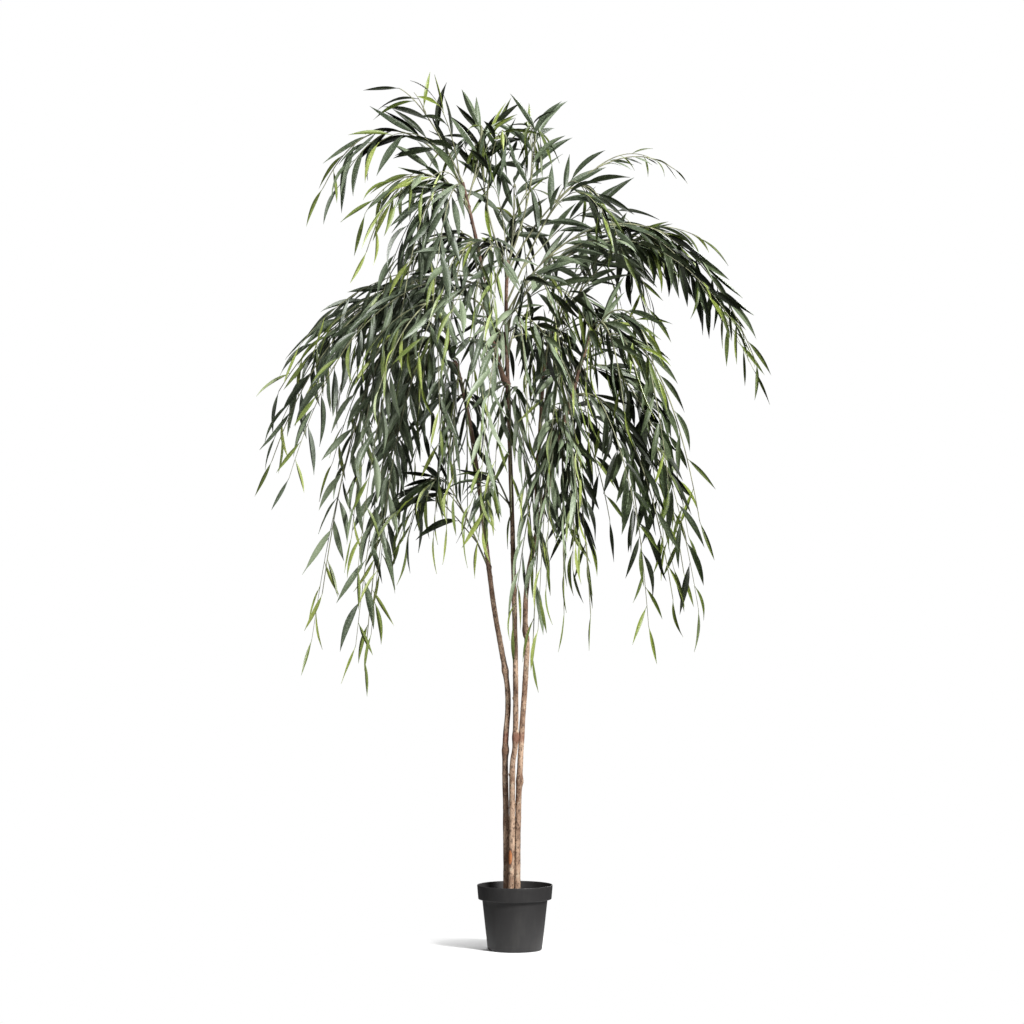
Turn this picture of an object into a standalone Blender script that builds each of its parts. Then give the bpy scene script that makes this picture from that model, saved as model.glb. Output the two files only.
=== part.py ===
# An artificial weeping willow, 1.8 m tall: three natural wood stems set in the
# cement of a small plastic pot, with drooping sprays of leaves plugged into them.
# Lengths are in metres and angles in degrees. +Z is up, the tree faces -Y, and
# the origin is the middle of the pot's flat underside.

import math
import random
from collections import namedtuple

import bmesh
import bpy
from mathutils import Matrix, Vector, geometry
from mathutils.bvhtree import BVHTree

UP = Vector((0.0, 0.0, 1.0))

# Neighbouring solids stay this far apart where they touch on the real tree
SEAT_GAP = 0.0003

# The pot: a turned plastic cup whose rim band stands proud of the wall
POT_HEIGHT = 0.133
POT_RIM_RADIUS = 0.0775
POT_BAND_HEIGHT = 0.029
POT_BAND_TAPER = 0.00225
POT_BAND_STEP = 0.0083
POT_BASE_RADIUS = 0.056
POT_EDGE_ROUNDING = 0.003
POT_WALL = 0.002
POT_SIDES = 36

# The cement that holds the stems
FILL_TOP = 0.102
STEM_FOOT = 0.040

# Wood: the rings along a limb, and how a knot swells it
LIMB_RING_SPACING = 0.060
KNOT_HALF_LENGTH = 0.014

# Sprays: a three-sided main twig, side twigs that fan away from it, and leaves
MAIN_STEPS = 6
SIDE_STEPS = 3
MAIN_TWIG_RADIUS = 0.0030
SIDE_TWIG_RADIUS = 0.0023
TWIG_TIP_SHARE = 0.6
FIRST_FORK = 0.10
LAST_FORK = 0.60
BARE_LENGTH = 0.10
SIDE_BARE_LENGTH = 0.05
LEAF_LENGTH = 0.150
TIP_LEAF_LENGTH = 0.095
LEAF_WIDTH_SHARE = 0.18
LEAF_THICKNESS_SHARE = 0.012
LEAF_WIDEST_AT = 0.36
LEAF_SPACING = 0.095
LEAF_ANGLE = 30.0
LEAF_SAG = 0.24
LEAF_SUNK = 0.001
SPRAY_SPACE = 0.17
CROWN_TOP = 1.80
SPRAY_GAP = 0.0015

# Sprays with smaller leaves, and sprays whose main twig stays bare for longer
SMALL_LEAVES = {"wisp_right": 0.45}
BARE_SHARES = {"wisp_right": 0.6, "crown_tuft_left": 0.25, "crown_tuft_right": 0.2, "right_inner_low": 0.3}

# A limb: its centre line as points chosen by eye, its radius at the foot and at
# the tip, the heights of its knots, and the limb that it grows from, if any
Limb = namedtuple("Limb", "name grows_from foot tip knots line")

LIMBS = (
    Limb("stem_left", None, 0.0068, 0.0038, (0.407, 0.571), (
        (-0.017, 0.010, STEM_FOOT), (-0.018, 0.010, 0.250), (-0.020, 0.011, 0.407),
        (-0.014, 0.013, 0.500), (-0.020, 0.016, 0.571), (-0.045, 0.024, 0.716),
        (-0.080, 0.042, 0.997), (-0.106, 0.050, 1.143), (-0.150, 0.060, 1.300))),
    Limb("stem_middle", None, 0.0066, 0.0036, (0.435, 1.157), (
        (-0.0095, -0.006, STEM_FOOT), (-0.006, -0.006, 0.251), (-0.005, -0.006, 0.376),
        (0.001, -0.006, 0.430), (0.001, -0.004, 0.591), (-0.004, -0.002, 0.827),
        (-0.013, 0.0, 1.108), (-0.018, 0.0, 1.303), (-0.015, 0.0, 1.414))),
    Limb("stem_right", None, 0.0068, 0.0038, (0.345, 0.655), (
        (0.004, 0.004, STEM_FOOT), (0.006, 0.004, 0.250), (0.012, 0.0, 0.408),
        (0.025, -0.004, 0.616), (0.021, -0.004, 0.655), (0.026, -0.006, 0.760),
        (0.054, -0.014, 0.895), (0.087, -0.026, 1.032), (0.118, -0.034, 1.139),
        (0.154, -0.042, 1.270))),
    Limb("bough_top_left", "stem_middle", 0.0050, 0.0032, (), (
        (-0.0145, 0.0, 1.157), (-0.025, -0.012, 1.175), (-0.048, -0.030, 1.264),
        (-0.075, -0.050, 1.432), (-0.106, -0.062, 1.567))),
    Limb("bough_right_inner", "stem_right", 0.0048, 0.0032, (), (
        (0.045, -0.011, 0.860), (0.046, 0.014, 0.962), (0.057, 0.055, 1.147),
        (0.062, 0.066, 1.199), (0.084, 0.088, 1.286))),
)

# A spray: the limb it is plugged into and at what height, the compass heading it
# grows towards (0 is +X, 90 is +Y), how far it climbs, how far it reaches, how
# far its tip ends below its root, its side twigs, and how they fan and droop
Spray = namedtuple("Spray", "name limb root heading climb reach fall twigs fan droop")

SPRAYS = (
    Spray("top_left_high", "bough_top_left", 1.563, 198, 0.125, 0.135, -0.190, 2, 17, 0.12),
    Spray("top_left_low", "bough_top_left", 1.546, 178, 0.160, 0.290, -0.010, 2, 20, 0.15),
    Spray("top_left_tuft", "bough_top_left", 1.530, 40, 0.160, 0.045, -0.110, 3, 26, 0.12),
    Spray("top_left_pale", "bough_top_left", 1.500, 202, 0.115, 0.225, 0.080, 4, 20, 0.15),
    Spray("top_left_hang", "bough_top_left", 1.515, 214, 0.090, 0.165, 0.240, 4, 18, 0.15),
    Spray("top_left_back", "bough_top_left", 1.440, 120, 0.050, 0.260, 0.060, 3, 22, 0.15),
    Spray("front_left_high", "bough_top_left", 1.420, 250, 0.050, 0.170, 0.180, 4, 24, 0.15),
    Spray("crown_tuft_left", "stem_middle", 1.392, 172, 0.260, 0.055, -0.255, 5, 34, 0.10),
    Spray("crown_tuft_right", "stem_middle", 1.408, 15, 0.262, 0.070, -0.255, 5, 36, 0.10),
    Spray("crown_front", "stem_middle", 1.374, 255, 0.090, 0.240, 0.060, 3, 20, 0.15),
    Spray("crown_back", "stem_middle", 1.345, 80, 0.200, 0.260, -0.020, 3, 22, 0.15),
    Spray("shoulder_right", "stem_middle", 1.324, 350, 0.278, 0.240, -0.105, 4, 18, 0.15),
    Spray("shoulder_olive", "stem_middle", 1.282, 8, 0.190, 0.400, -0.183, 3, 14, 0.15),
    Spray("wisp_right", "stem_middle", 1.384, 5, 0.226, 0.345, -0.219, 1, 10, 0.10),
    Spray("arm_right", "stem_middle", 1.300, 356, 0.260, 0.512, 0.100, 5, 11, 0.12),
    Spray("arm_right_high", "bough_right_inner", 1.243, 354, 0.205, 0.275, -0.185, 4, 14, 0.12),
    Spray("arm_right_back", "bough_right_inner", 1.268, 42, 0.220, 0.290, -0.020, 3, 14, 0.15),
    Spray("right_middle", "stem_right", 1.222, 335, 0.120, 0.160, 0.050, 1, 22, 0.15),
    Spray("right_front", "stem_right", 1.184, 290, 0.140, 0.250, 0.090, 3, 22, 0.15),
    Spray("right_edge", "stem_right", 1.206, 8, 0.110, 0.245, 0.330, 2, 14, 0.10),
    Spray("right_edge_low", "stem_right", 1.170, 22, 0.070, 0.240, 0.400, 3, 10, 0.10),
    Spray("right_low", "stem_right", 1.130, 345, 0.030, 0.212, 0.410, 3, 10, 0.06),
    Spray("right_inner_low", "stem_right", 1.030, 318, 0.050, 0.090, 0.340, 2, 16, 0.15),
    Spray("right_hang", "stem_right", 1.050, 275, 0.060, 0.080, 0.350, 3, 14, 0.12),
    Spray("right_back", "bough_right_inner", 1.182, 75, 0.130, 0.270, 0.130, 4, 22, 0.15),
    Spray("right_back_low", "bough_right_inner", 1.080, 50, 0.060, 0.230, 0.200, 3, 20, 0.15),
    Spray("centre_front", "stem_middle", 1.235, 280, 0.120, 0.250, 0.170, 3, 24, 0.15),
    Spray("centre_pale", "stem_right", 1.075, 212, 0.050, 0.075, 0.470, 3, 6, 0.10),
    Spray("centre_back", "stem_middle", 1.200, 78, 0.120, 0.280, 0.050, 4, 24, 0.15),
    Spray("centre_inner", "bough_right_inner", 1.204, 285, 0.120, 0.110, 0.080, 3, 26, 0.15),
    Spray("centre_high", "bough_right_inner", 1.226, 325, 0.150, 0.140, 0.000, 4, 26, 0.15),
    Spray("centre_right_front", "stem_middle", 1.270, 305, 0.150, 0.190, 0.050, 3, 26, 0.15),
    Spray("left_high", "bough_top_left", 1.378, 180, 0.005, 0.415, 0.235, 5, 14, 0.10),
    Spray("left_arm", "bough_top_left", 1.350, 190, 0.060, 0.435, 0.350, 4, 14, 0.10),
    Spray("left_arm_front", "bough_top_left", 1.300, 228, 0.070, 0.320, 0.160, 4, 20, 0.15),
    Spray("left_hang", "stem_left", 1.290, 200, 0.050, 0.262, 0.560, 5, 10, 0.08),
    Spray("left_low", "stem_left", 1.238, 178, 0.050, 0.178, 0.650, 4, 12, 0.08),
    Spray("left_front", "stem_left", 1.212, 255, 0.090, 0.260, 0.110, 3, 22, 0.15),
    Spray("left_back", "stem_left", 1.270, 130, 0.100, 0.290, 0.150, 4, 22, 0.15),
    Spray("left_back_low", "stem_left", 1.120, 90, 0.060, 0.240, 0.210, 3, 20, 0.15),
    Spray("left_inner", "stem_left", 1.140, 250, 0.070, 0.100, 0.270, 3, 14, 0.12),
    Spray("left_stem_twig", "stem_left", 0.780, 185, 0.225, 0.170, -0.050, 4, 22, 0.15),
    Spray("left_thin", "stem_left", 1.170, 235, 0.070, 0.080, 0.200, 1, 14, 0.15),
    Spray("middle_twig", "stem_middle", 0.900, 190, 0.100, 0.070, 0.060, 3, 26, 0.15),
    Spray("centre_veil", "stem_middle", 1.128, 275, 0.060, 0.070, 0.230, 3, 12, 0.12),
    Spray("centre_gap", "stem_right", 1.150, 235, 0.070, 0.090, 0.150, 3, 24, 0.15),
    Spray("crown_leader", "stem_middle", 1.360, 70, 0.215, 0.050, -0.165, 3, 26, 0.12),
)


# Scene and materials

for old in list(bpy.data.objects):
    bpy.data.objects.remove(old)

tree = bpy.data.collections.new("weeping_willow")
cutters = bpy.data.collections.new("cutters")
bpy.context.scene.collection.children.link(tree)
bpy.context.scene.collection.children.link(cutters)


def plain_material(name, colour, roughness):
    material = bpy.data.materials.new(name)
    material.use_nodes = True
    shader = material.node_tree.nodes["Principled BSDF"]
    shader.inputs["Base Color"].default_value = (*colour, 1.0)
    shader.inputs["Roughness"].default_value = roughness
    shader.inputs["Metallic"].default_value = 0.0
    return material


POT_PLASTIC = plain_material("pot_plastic", (0.045, 0.045, 0.045), 0.55)
CEMENT = plain_material("cement", (0.09, 0.08, 0.07), 0.95)
BARK = plain_material("bark", (0.32, 0.21, 0.15), 0.8)
LEAF_GREEN = plain_material("leaf_green", (0.045, 0.07, 0.035), 0.6)


def add_piece(name, data, material, collection=tree):
    piece = bpy.data.objects.new(name, data)
    if material:
        data.materials.append(material)
    collection.objects.link(piece)
    return piece


# Pot and cement

def turned(name, profile, material):
    """A profile of (radius, height) points turned round the Z axis"""
    mesh = bpy.data.meshes.new(name)
    edges = [(i, i + 1) for i in range(len(profile) - 1)]
    mesh.from_pydata([(radius, 0.0, height) for radius, height in profile], edges, [])
    piece = add_piece(name, mesh, material)
    screw = piece.modifiers.new("turn", "SCREW")
    screw.steps = POT_SIDES
    screw.render_steps = POT_SIDES
    screw.use_merge_vertices = True
    screw.merge_threshold = 0.0001
    screw.use_smooth_shade = True
    return piece


band_foot = POT_HEIGHT - POT_BAND_HEIGHT
band_foot_radius = POT_RIM_RADIUS - POT_BAND_TAPER
body_top_radius = band_foot_radius - POT_BAND_STEP


def body_radius(height):
    """The pot's outer radius below its band"""
    share = height / band_foot
    return POT_BASE_RADIUS + (body_top_radius - POT_BASE_RADIUS) * share


def build_pot():
    slant = POT_EDGE_ROUNDING * 0.3
    profile = [
        (0.0, POT_WALL),
        (body_radius(POT_WALL) - POT_WALL, POT_WALL),
        (body_top_radius - POT_WALL, band_foot + POT_WALL),
        (band_foot_radius - POT_WALL, band_foot + POT_WALL),
        (POT_RIM_RADIUS - POT_WALL, POT_HEIGHT),
        (POT_RIM_RADIUS, POT_HEIGHT),
        (band_foot_radius, band_foot),
        (body_top_radius, band_foot),
        (body_radius(POT_EDGE_ROUNDING), POT_EDGE_ROUNDING),
        (POT_BASE_RADIUS - slant, slant),
        (POT_BASE_RADIUS - POT_EDGE_ROUNDING, 0.0),
        (0.0, 0.0),
    ]
    return turned("pot", profile, POT_PLASTIC)


def build_fill():
    floor = POT_WALL + SEAT_GAP
    inset = POT_WALL + SEAT_GAP
    profile = [
        (0.0, FILL_TOP),
        (body_radius(FILL_TOP) - inset, FILL_TOP),
        (body_radius(floor) - inset, floor),
        (0.0, floor),
    ]
    return turned("pot_fill", profile, CEMENT)


# Limbs

def smooth_path(points, spacing):
    """A smooth curve through the points, read off about every spacing"""
    points = [Vector(p) for p in points]
    line = [2 * points[0] - points[1]] + points + [2 * points[-1] - points[-2]]
    path = []
    for before, start, end, after in zip(line, line[1:], line[2:], line[3:]):
        steps = max(1, round((end - start).length / spacing))
        for step in range(steps):
            t = step / steps
            path.append(0.5 * (2 * start + (end - before) * t
                               + (2 * before - 5 * start + 4 * end - after) * t * t
                               + (3 * start - before - 3 * end + after) * t ** 3))
    path.append(points[-1])
    return path


def at_height(path, height):
    """The point of a rising path at a height"""
    for low, high in zip(path, path[1:]):
        if height <= high.z:
            return low.lerp(high, (height - low.z) / (high.z - low.z))
    return path[-1].copy()


def limb_rings(limb):
    """A limb's centres and radii from foot to tip, with three rings at each knot"""
    path = smooth_path(limb.line, LIMB_RING_SPACING)
    knot_rings = [(at_height(path, knot + offset), swell)
                  for knot in limb.knots
                  for offset, swell in ((-KNOT_HALF_LENGTH, 1.0), (0.0, 1.3), (KNOT_HALF_LENGTH, 1.0))]
    rings = [(point, 1.0) for point in path
             if all(abs(point.z - knot) > 2 * KNOT_HALF_LENGTH for knot in limb.knots)]
    rings = sorted(rings + knot_rings, key=lambda ring: ring[0].z)
    foot, tip = path[0].z, path[-1].z
    centres = [point for point, swell in rings]
    radii = [swell * (limb.foot + (limb.tip - limb.foot) * (point.z - foot) / (tip - foot))
             for point, swell in rings]
    return centres, radii


def mesh_from_curve(piece, collection):
    """A mesh object with a curve's shape, its caps welded on, in the curve's place"""
    shape = piece.evaluated_get(bpy.context.evaluated_depsgraph_get())
    mesh = bpy.data.meshes.new_from_object(shape)
    welded = bmesh.new()
    welded.from_mesh(mesh)
    bmesh.ops.remove_doubles(welded, verts=welded.verts, dist=0.00001)
    bmesh.ops.recalc_face_normals(welded, faces=welded.faces)
    welded.to_mesh(mesh)
    welded.free()
    name = piece.name
    place = piece.matrix_world.copy()
    bpy.data.objects.remove(piece)
    solid = bpy.data.objects.new(name, mesh)
    solid.matrix_world = place
    collection.objects.link(solid)
    return solid


def tube(name, centres, radii, material, collection, section=None):
    """A solid tube along the centres: eight-sided, or with the section curve's outline"""
    curve = bpy.data.curves.new(name, "CURVE")
    curve.dimensions = "3D"
    curve.use_fill_caps = True
    if section:
        curve.bevel_mode = "OBJECT"
        curve.bevel_object = section
    else:
        curve.bevel_depth = 1.0
        curve.bevel_resolution = 2
    spline = curve.splines.new("POLY")
    spline.points.add(len(centres) - 1)
    for point, centre, radius in zip(spline.points, centres, radii):
        point.co = (*centre, 1.0)
        point.radius = radius
    return mesh_from_curve(add_piece(name, curve, material, collection), collection)


def as_cutter(piece):
    piece.hide_render = True
    piece.display_type = "WIRE"
    return piece


def is_closed(mesh):
    """True where each edge of a mesh joins two faces"""
    shape = bmesh.new()
    shape.from_mesh(mesh)
    closed = all(len(edge.link_faces) == 2 for edge in shape.edges)
    shape.free()
    return closed


def solved(piece, boolean):
    """The mesh a Boolean gives, by its second solver where the first leaves an edge open"""
    for solver in ("EXACT", "MANIFOLD"):
        boolean.solver = solver
        shape = piece.evaluated_get(bpy.context.evaluated_depsgraph_get())
        mesh = bpy.data.meshes.new_from_object(shape)
        if is_closed(mesh):
            break
    return mesh


def cut(piece, cutter):
    """Cut a piece clear of its neighbour with the neighbour's enlarged copy"""
    clear = piece.modifiers.new("clear_of_" + cutter.name, "BOOLEAN")
    clear.operation = "DIFFERENCE"
    clear.object = cutter
    bpy.data.meshes.remove(solved(piece, clear))


def build_limbs():
    """The limbs; returns an enlarged copy of each, which cuts its neighbours clear"""
    clearances = {}
    for limb in LIMBS:
        centres, radii = limb_rings(limb)
        piece = tube(limb.name, centres, radii, BARK, tree)
        piece.data.shade_smooth()
        piece.data.set_sharp_from_angle(angle=math.radians(60.0))
        lowered = [centres[0] - UP * SEAT_GAP] + centres[1:]
        enlarged = [radius + SEAT_GAP for radius in radii]
        name = limb.name + "_clearance"
        clearances[limb.name] = as_cutter(tube(name, lowered, enlarged, None, cutters))
        if limb.grows_from:
            cut(piece, clearances[limb.grows_from])
    return clearances


# Sprays

def twig_section():
    """The three-sided outline that is carried along each twig"""
    outline = bpy.data.curves.new("twig_section", "CURVE")
    outline.dimensions = "2D"
    spline = outline.splines.new("POLY")
    spline.points.add(2)
    for number, point in enumerate(spline.points):
        turn = math.radians(120.0 * number)
        point.co = (math.cos(turn), math.sin(turn), 0.0, 1.0)
    spline.use_cyclic_u = True
    return add_piece("twig_section", outline, None, cutters)


def leaf_solid():
    """A leaf one unit long, wide and thick: eight faces, root at the origin, tip at +X"""
    shape = bmesh.new()
    bmesh.ops.create_uvsphere(shape, u_segments=4, v_segments=2, radius=1.0)
    for vert in shape.verts:
        x, y, z = vert.co
        along = LEAF_WIDEST_AT if abs(z) < 0.5 else (1.0 if z > 0 else 0.0)
        vert.co = (along, 0.5 * x, 0.5 * y)
    mesh = bpy.data.meshes.new("leaf")
    shape.to_mesh(mesh)
    shape.free()
    mesh.materials.append(LEAF_GREEN)
    return mesh


def main_line(root, spray):
    """A spray's main twig: it leaves the wood at a slant, arches over and hangs down"""
    turn = math.radians(spray.heading)
    heading = Vector((math.cos(turn), math.sin(turn), 0.0))
    leave = root + heading * max(0.12 * spray.reach, 0.32 * spray.climb) + UP * 0.69 * spray.climb
    crest = root + heading * 0.66 * spray.reach + UP * 1.35 * spray.climb
    tip = root + heading * spray.reach - UP * spray.fall
    return geometry.interpolate_bezier(root, leave, crest, tip, MAIN_STEPS + 1)


def on_path(path, share):
    """The point a share of the way along a path's steps, and the direction there"""
    place = min(share, 1.0) * (len(path) - 1)
    step = min(int(place), len(path) - 2)
    start, end = path[step], path[step + 1]
    return start.lerp(end, place - step), (end - start).normalized()


def path_length(path):
    return sum((end - start).length for start, end in zip(path, path[1:]))


def along(path, distance):
    """The point a distance along a path, and the direction there"""
    for start, end in zip(path, path[1:]):
        run = (end - start).length
        if distance < run:
            return start.lerp(end, distance / run), (end - start).normalized()
        distance -= run
    return path[-1].copy(), (path[-1] - path[-2]).normalized()


def side_twig(main, spray, number, rng):
    """A side twig: it follows the main twig's later course and fans away from it"""
    first = BARE_SHARES.get(spray.name, FIRST_FORK)
    start = first + (LAST_FORK - first) * number / max(1, spray.twigs - 1) + rng.uniform(-0.03, 0.03)
    end = start + (1.0 - start) * rng.uniform(0.6, 1.0)
    roll = math.radians(rng.uniform(-70.0, 70.0))
    spread = math.tan(math.radians(spray.fan * rng.uniform(0.6, 1.3)))
    turn = rng.uniform(0.0, 2 * math.pi)
    forward = on_path(main, start)[1]
    lateral = forward.cross(UP)
    if lateral.length < 0.25:
        lateral = Vector((math.cos(turn), math.sin(turn), 0.0))
        lateral -= forward * lateral.dot(forward)
    lateral.normalize()
    side = 1 if number % 2 else -1
    away = lateral * side * math.cos(roll) + lateral.cross(forward) * math.sin(roll)
    length = path_length([on_path(main, start + (end - start) * k / 8)[0] for k in range(9)])
    path = []
    for step in range(SIDE_STEPS + 1):
        share = step / SIDE_STEPS
        followed = on_path(main, start + (end - start) * share)[0]
        path.append(followed + away * spread * length * share ** 0.85
                    - UP * spray.droop * length * share ** 2)
    return path


def leaves_along(path, rng, bare, bare_share, spray):
    """Alternate leaves along a twig: each one's root, direction, flat side and length"""
    size = SMALL_LEAVES.get(spray.name, 1.0)
    total = path_length(path)
    bare = max(min(bare, 0.3 * total), bare_share * total)
    count = max(1, round((total - bare) / LEAF_SPACING))
    side = 1 if rng.random() < 0.5 else -1
    plane = math.radians(spray.heading + rng.uniform(-50.0, 50.0))
    leaves = []
    for number in range(count + 1):
        last = number == count
        root, forward = along(path, bare + (total - bare) * number / count)
        lateral = Vector((math.cos(plane), math.sin(plane), 0.0))
        lateral -= forward * lateral.dot(forward)
        if lateral.length < 0.3:
            lateral = UP - forward * UP.dot(forward)
        lateral.normalize()
        angle = math.radians(LEAF_ANGLE * rng.uniform(0.6, 1.35) * (0.3 if last else 1.0))
        direction = forward * math.cos(angle) + lateral * side * math.sin(angle)
        direction = (direction - UP * LEAF_SAG * rng.uniform(0.3, 1.2)).normalized()
        flat = forward.cross(lateral) + lateral * rng.uniform(-0.4, 0.4) + UP * 0.25
        length = size * (TIP_LEAF_LENGTH if last else LEAF_LENGTH) * rng.uniform(0.9, 1.1)
        leaves.append((root - direction * LEAF_SUNK, direction, flat, length))
        side = -side
    return leaves


def leaf_matrix(root, direction, flat, length, gap=0.0):
    """Where a leaf lies, and its size, made larger all round by a gap"""
    across = flat.cross(direction).normalized()
    normal = direction.cross(across)
    root = root - direction * gap
    width = length * LEAF_WIDTH_SHARE + 2 * gap
    thickness = length * LEAF_THICKNESS_SHARE + 2 * gap
    columns = Matrix((direction * (length + 2 * gap), across * width, normal * thickness)).transposed()
    return Matrix.Translation(root) @ columns.to_4x4()


def search_tree(mesh, matrix):
    """A mesh's faces, sorted so that touching faces are found fast"""
    verts = [matrix @ vert.co for vert in mesh.vertices]
    return BVHTree.FromPolygons(verts, [tuple(face.vertices) for face in mesh.polygons])


def twig_solid(name, path, radius, section, collection):
    steps = len(path) - 1
    radii = [radius * (1.0 - (1.0 - TWIG_TIP_SHARE) * step / steps) for step in range(steps + 1)]
    return tube(name, path, radii, LEAF_GREEN, collection, section)


def widened(name, path, radius, section):
    """The space round a twig that others keep out of"""
    solid = twig_solid(name, path, radius + 2 * SPRAY_GAP, section, cutters)
    space = search_tree(solid.data, solid.matrix_world)
    bpy.data.objects.remove(solid)
    return space


def touches(candidate, spaces):
    return any(candidate.overlap(space) for space in spaces)


def join(stem, parts, name):
    """One closed body from a main twig and the twigs and leaves rooted in it"""
    group = bpy.data.collections.new(name + "_parts")
    bpy.context.scene.collection.children.link(group)
    for part in parts:
        group.objects.link(part)
    union = stem.modifiers.new("join", "BOOLEAN")
    union.operation = "UNION"
    union.operand_type = "COLLECTION"
    union.collection = group
    mesh = solved(stem, union)
    mesh.name = name
    for part in parts:
        bpy.data.objects.remove(part)
    bpy.data.collections.remove(group)
    stem.modifiers.remove(union)
    stem.data = mesh


def build_sprays(clearances):
    """Every spray: main twigs first, then side twigs and leaves where there is room"""
    section = twig_section()
    leaf = leaf_solid()
    lines = {limb.name: smooth_path(limb.line, LIMB_RING_SPACING) for limb in LIMBS}
    wood = [search_tree(piece.data, piece.matrix_world) for piece in clearances.values()]
    mains = {}
    taken = {}
    for spray in SPRAYS:
        mains[spray.name] = main_line(at_height(lines[spray.limb], spray.root), spray)
        taken[spray.name] = [widened("space", mains[spray.name], MAIN_TWIG_RADIUS, section)]

    twigs = {}
    for seed, spray in enumerate(SPRAYS, start=1):
        twigs[spray.name] = []
        for number in range(0, spray.twigs, 2):
            path = side_twig(mains[spray.name], spray, number, random.Random(100 * seed + number))
            solid = twig_solid("side_twig", path, SIDE_TWIG_RADIUS, section, cutters)
            candidate = search_tree(solid.data, solid.matrix_world)
            others = [space for name, spaces in taken.items() if name != spray.name for space in spaces]
            if touches(candidate, wood + others):
                bpy.data.objects.remove(solid)
                continue
            cutters.objects.unlink(solid)
            twigs[spray.name].append((path, solid, number))
            taken[spray.name].append(widened("space", path, SIDE_TWIG_RADIUS, section))

    leaf_total = 0
    for seed, spray in enumerate(SPRAYS, start=1):
        main = mains[spray.name]
        near = taken[spray.name][0]
        others = [space for name, spaces in taken.items() if name != spray.name for space in spaces]
        own = []
        bare_share = BARE_SHARES.get(spray.name, 0.0)
        rooted = leaves_along(main, random.Random(seed), BARE_LENGTH, bare_share, spray)
        for path, solid, number in twigs[spray.name]:
            rng = random.Random(1000 * seed + number)
            rooted += leaves_along(path, rng, SIDE_BARE_LENGTH, 0.0, spray)
        parts = [solid for path, solid, number in twigs[spray.name]]
        for root, direction, flat, length in rooted:
            place = leaf_matrix(root, direction, flat, length)
            candidate = search_tree(leaf, place)
            tip = root + direction * length
            outside = tip.z > CROWN_TOP or near.find_nearest(tip)[3] > SPRAY_SPACE
            if outside or touches(candidate, wood + others + own):
                continue
            piece = bpy.data.objects.new("leaf", leaf)
            piece.matrix_world = place
            parts.append(piece)
            own.append(search_tree(leaf, leaf_matrix(root, direction, flat, length, SPRAY_GAP)))
        taken[spray.name] += own
        leaf_total += len(own)
        name = "foliage_" + spray.name
        stem = twig_solid(name, main, MAIN_TWIG_RADIUS, section, tree)
        join(stem, parts, name)
        cut(stem, clearances[spray.limb])
    bpy.data.objects.remove(section)
    print("sprays", len(SPRAYS), "leaves", leaf_total)


build_pot()
fill = build_fill()
clearance_copies = build_limbs()
for stem_name in ("stem_left", "stem_middle", "stem_right"):
    cut(fill, clearance_copies[stem_name])
build_sprays(clearance_copies)
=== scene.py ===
# %% [markdown]
# # An artificial weeping willow in its pot
#
# The real tree is put together by hand from ready-made stock: three natural wood
# stems cast into a small plastic pot, and sprays of cloth leaves on wire-cored twigs
# whose ends are plugged into holes drilled in the wood.
#
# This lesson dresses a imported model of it. The frame gives the solids, which hold
# the sizes, and each cell below replaces a rough solid with a finished piece that
# stays in the same place.

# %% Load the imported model
import math
import random
from collections import namedtuple

import bpy
import numpy as np
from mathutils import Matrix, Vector, geometry, noise


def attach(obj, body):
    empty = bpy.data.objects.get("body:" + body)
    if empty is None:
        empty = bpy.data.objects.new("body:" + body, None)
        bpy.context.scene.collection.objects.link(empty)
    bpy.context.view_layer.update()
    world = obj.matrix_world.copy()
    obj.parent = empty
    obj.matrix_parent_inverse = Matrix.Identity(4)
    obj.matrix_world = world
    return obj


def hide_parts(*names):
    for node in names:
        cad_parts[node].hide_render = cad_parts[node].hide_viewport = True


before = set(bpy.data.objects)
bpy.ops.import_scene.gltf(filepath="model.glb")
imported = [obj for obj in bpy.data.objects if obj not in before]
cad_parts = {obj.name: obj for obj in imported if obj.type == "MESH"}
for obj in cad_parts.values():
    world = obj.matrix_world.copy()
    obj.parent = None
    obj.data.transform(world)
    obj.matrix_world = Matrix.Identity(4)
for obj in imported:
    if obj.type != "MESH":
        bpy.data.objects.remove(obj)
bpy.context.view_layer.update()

foliage_nodes = [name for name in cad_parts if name.startswith("foliage_")]
UP = Vector((0.0, 0.0, 1.0))
print("foliage solids", len(foliage_nodes))

# %% [markdown]
# ## Camera
#
# The tree was photographed from about seven metres away with a long lens, level
# with the middle of the tree, so its upright lines stay parallel. A level camera
# with no shift gives the same frame: only its distance, height and lens are needed.

# %% Camera
METRES_PER_PIXEL = 0.00205
FOCAL_PIXELS = 3550.0
IMAGE_SIZE = 1024
POT_AXIS_PIXEL = 514.9
FLOOR_PIXEL = 949.5

lens = bpy.data.cameras.new("camera")
lens.sensor_width = 36.0
lens.lens = FOCAL_PIXELS / IMAGE_SIZE * lens.sensor_width
camera = bpy.data.objects.new("camera", lens)
bpy.context.scene.collection.objects.link(camera)
camera.location = (
    (IMAGE_SIZE / 2 - POT_AXIS_PIXEL) * METRES_PER_PIXEL,
    -FOCAL_PIXELS * METRES_PER_PIXEL,
    (FLOOR_PIXEL - IMAGE_SIZE / 2) * METRES_PER_PIXEL,
)
camera.rotation_euler = (math.radians(90.0), 0.0, 0.0)
bpy.context.scene.camera = camera
print("lens", round(lens.lens, 1), "mm, camera at", tuple(round(v, 3) for v in camera.location))

# %% [markdown]
# ## Floor and light
#
# A catalogue picture is lit by large soft boxes over a pale floor. The floor here is
# matt only near the pot, where it takes the shadow, and turns into the white of the
# surroundings within a third of a metre. So no horizon cuts through the picture, from
# whichever side the tree is seen. White surroundings would also fill every shadow
# inside the crown. So they show white to the camera and light the tree with less, and
# the boxes do the modelling.

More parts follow.
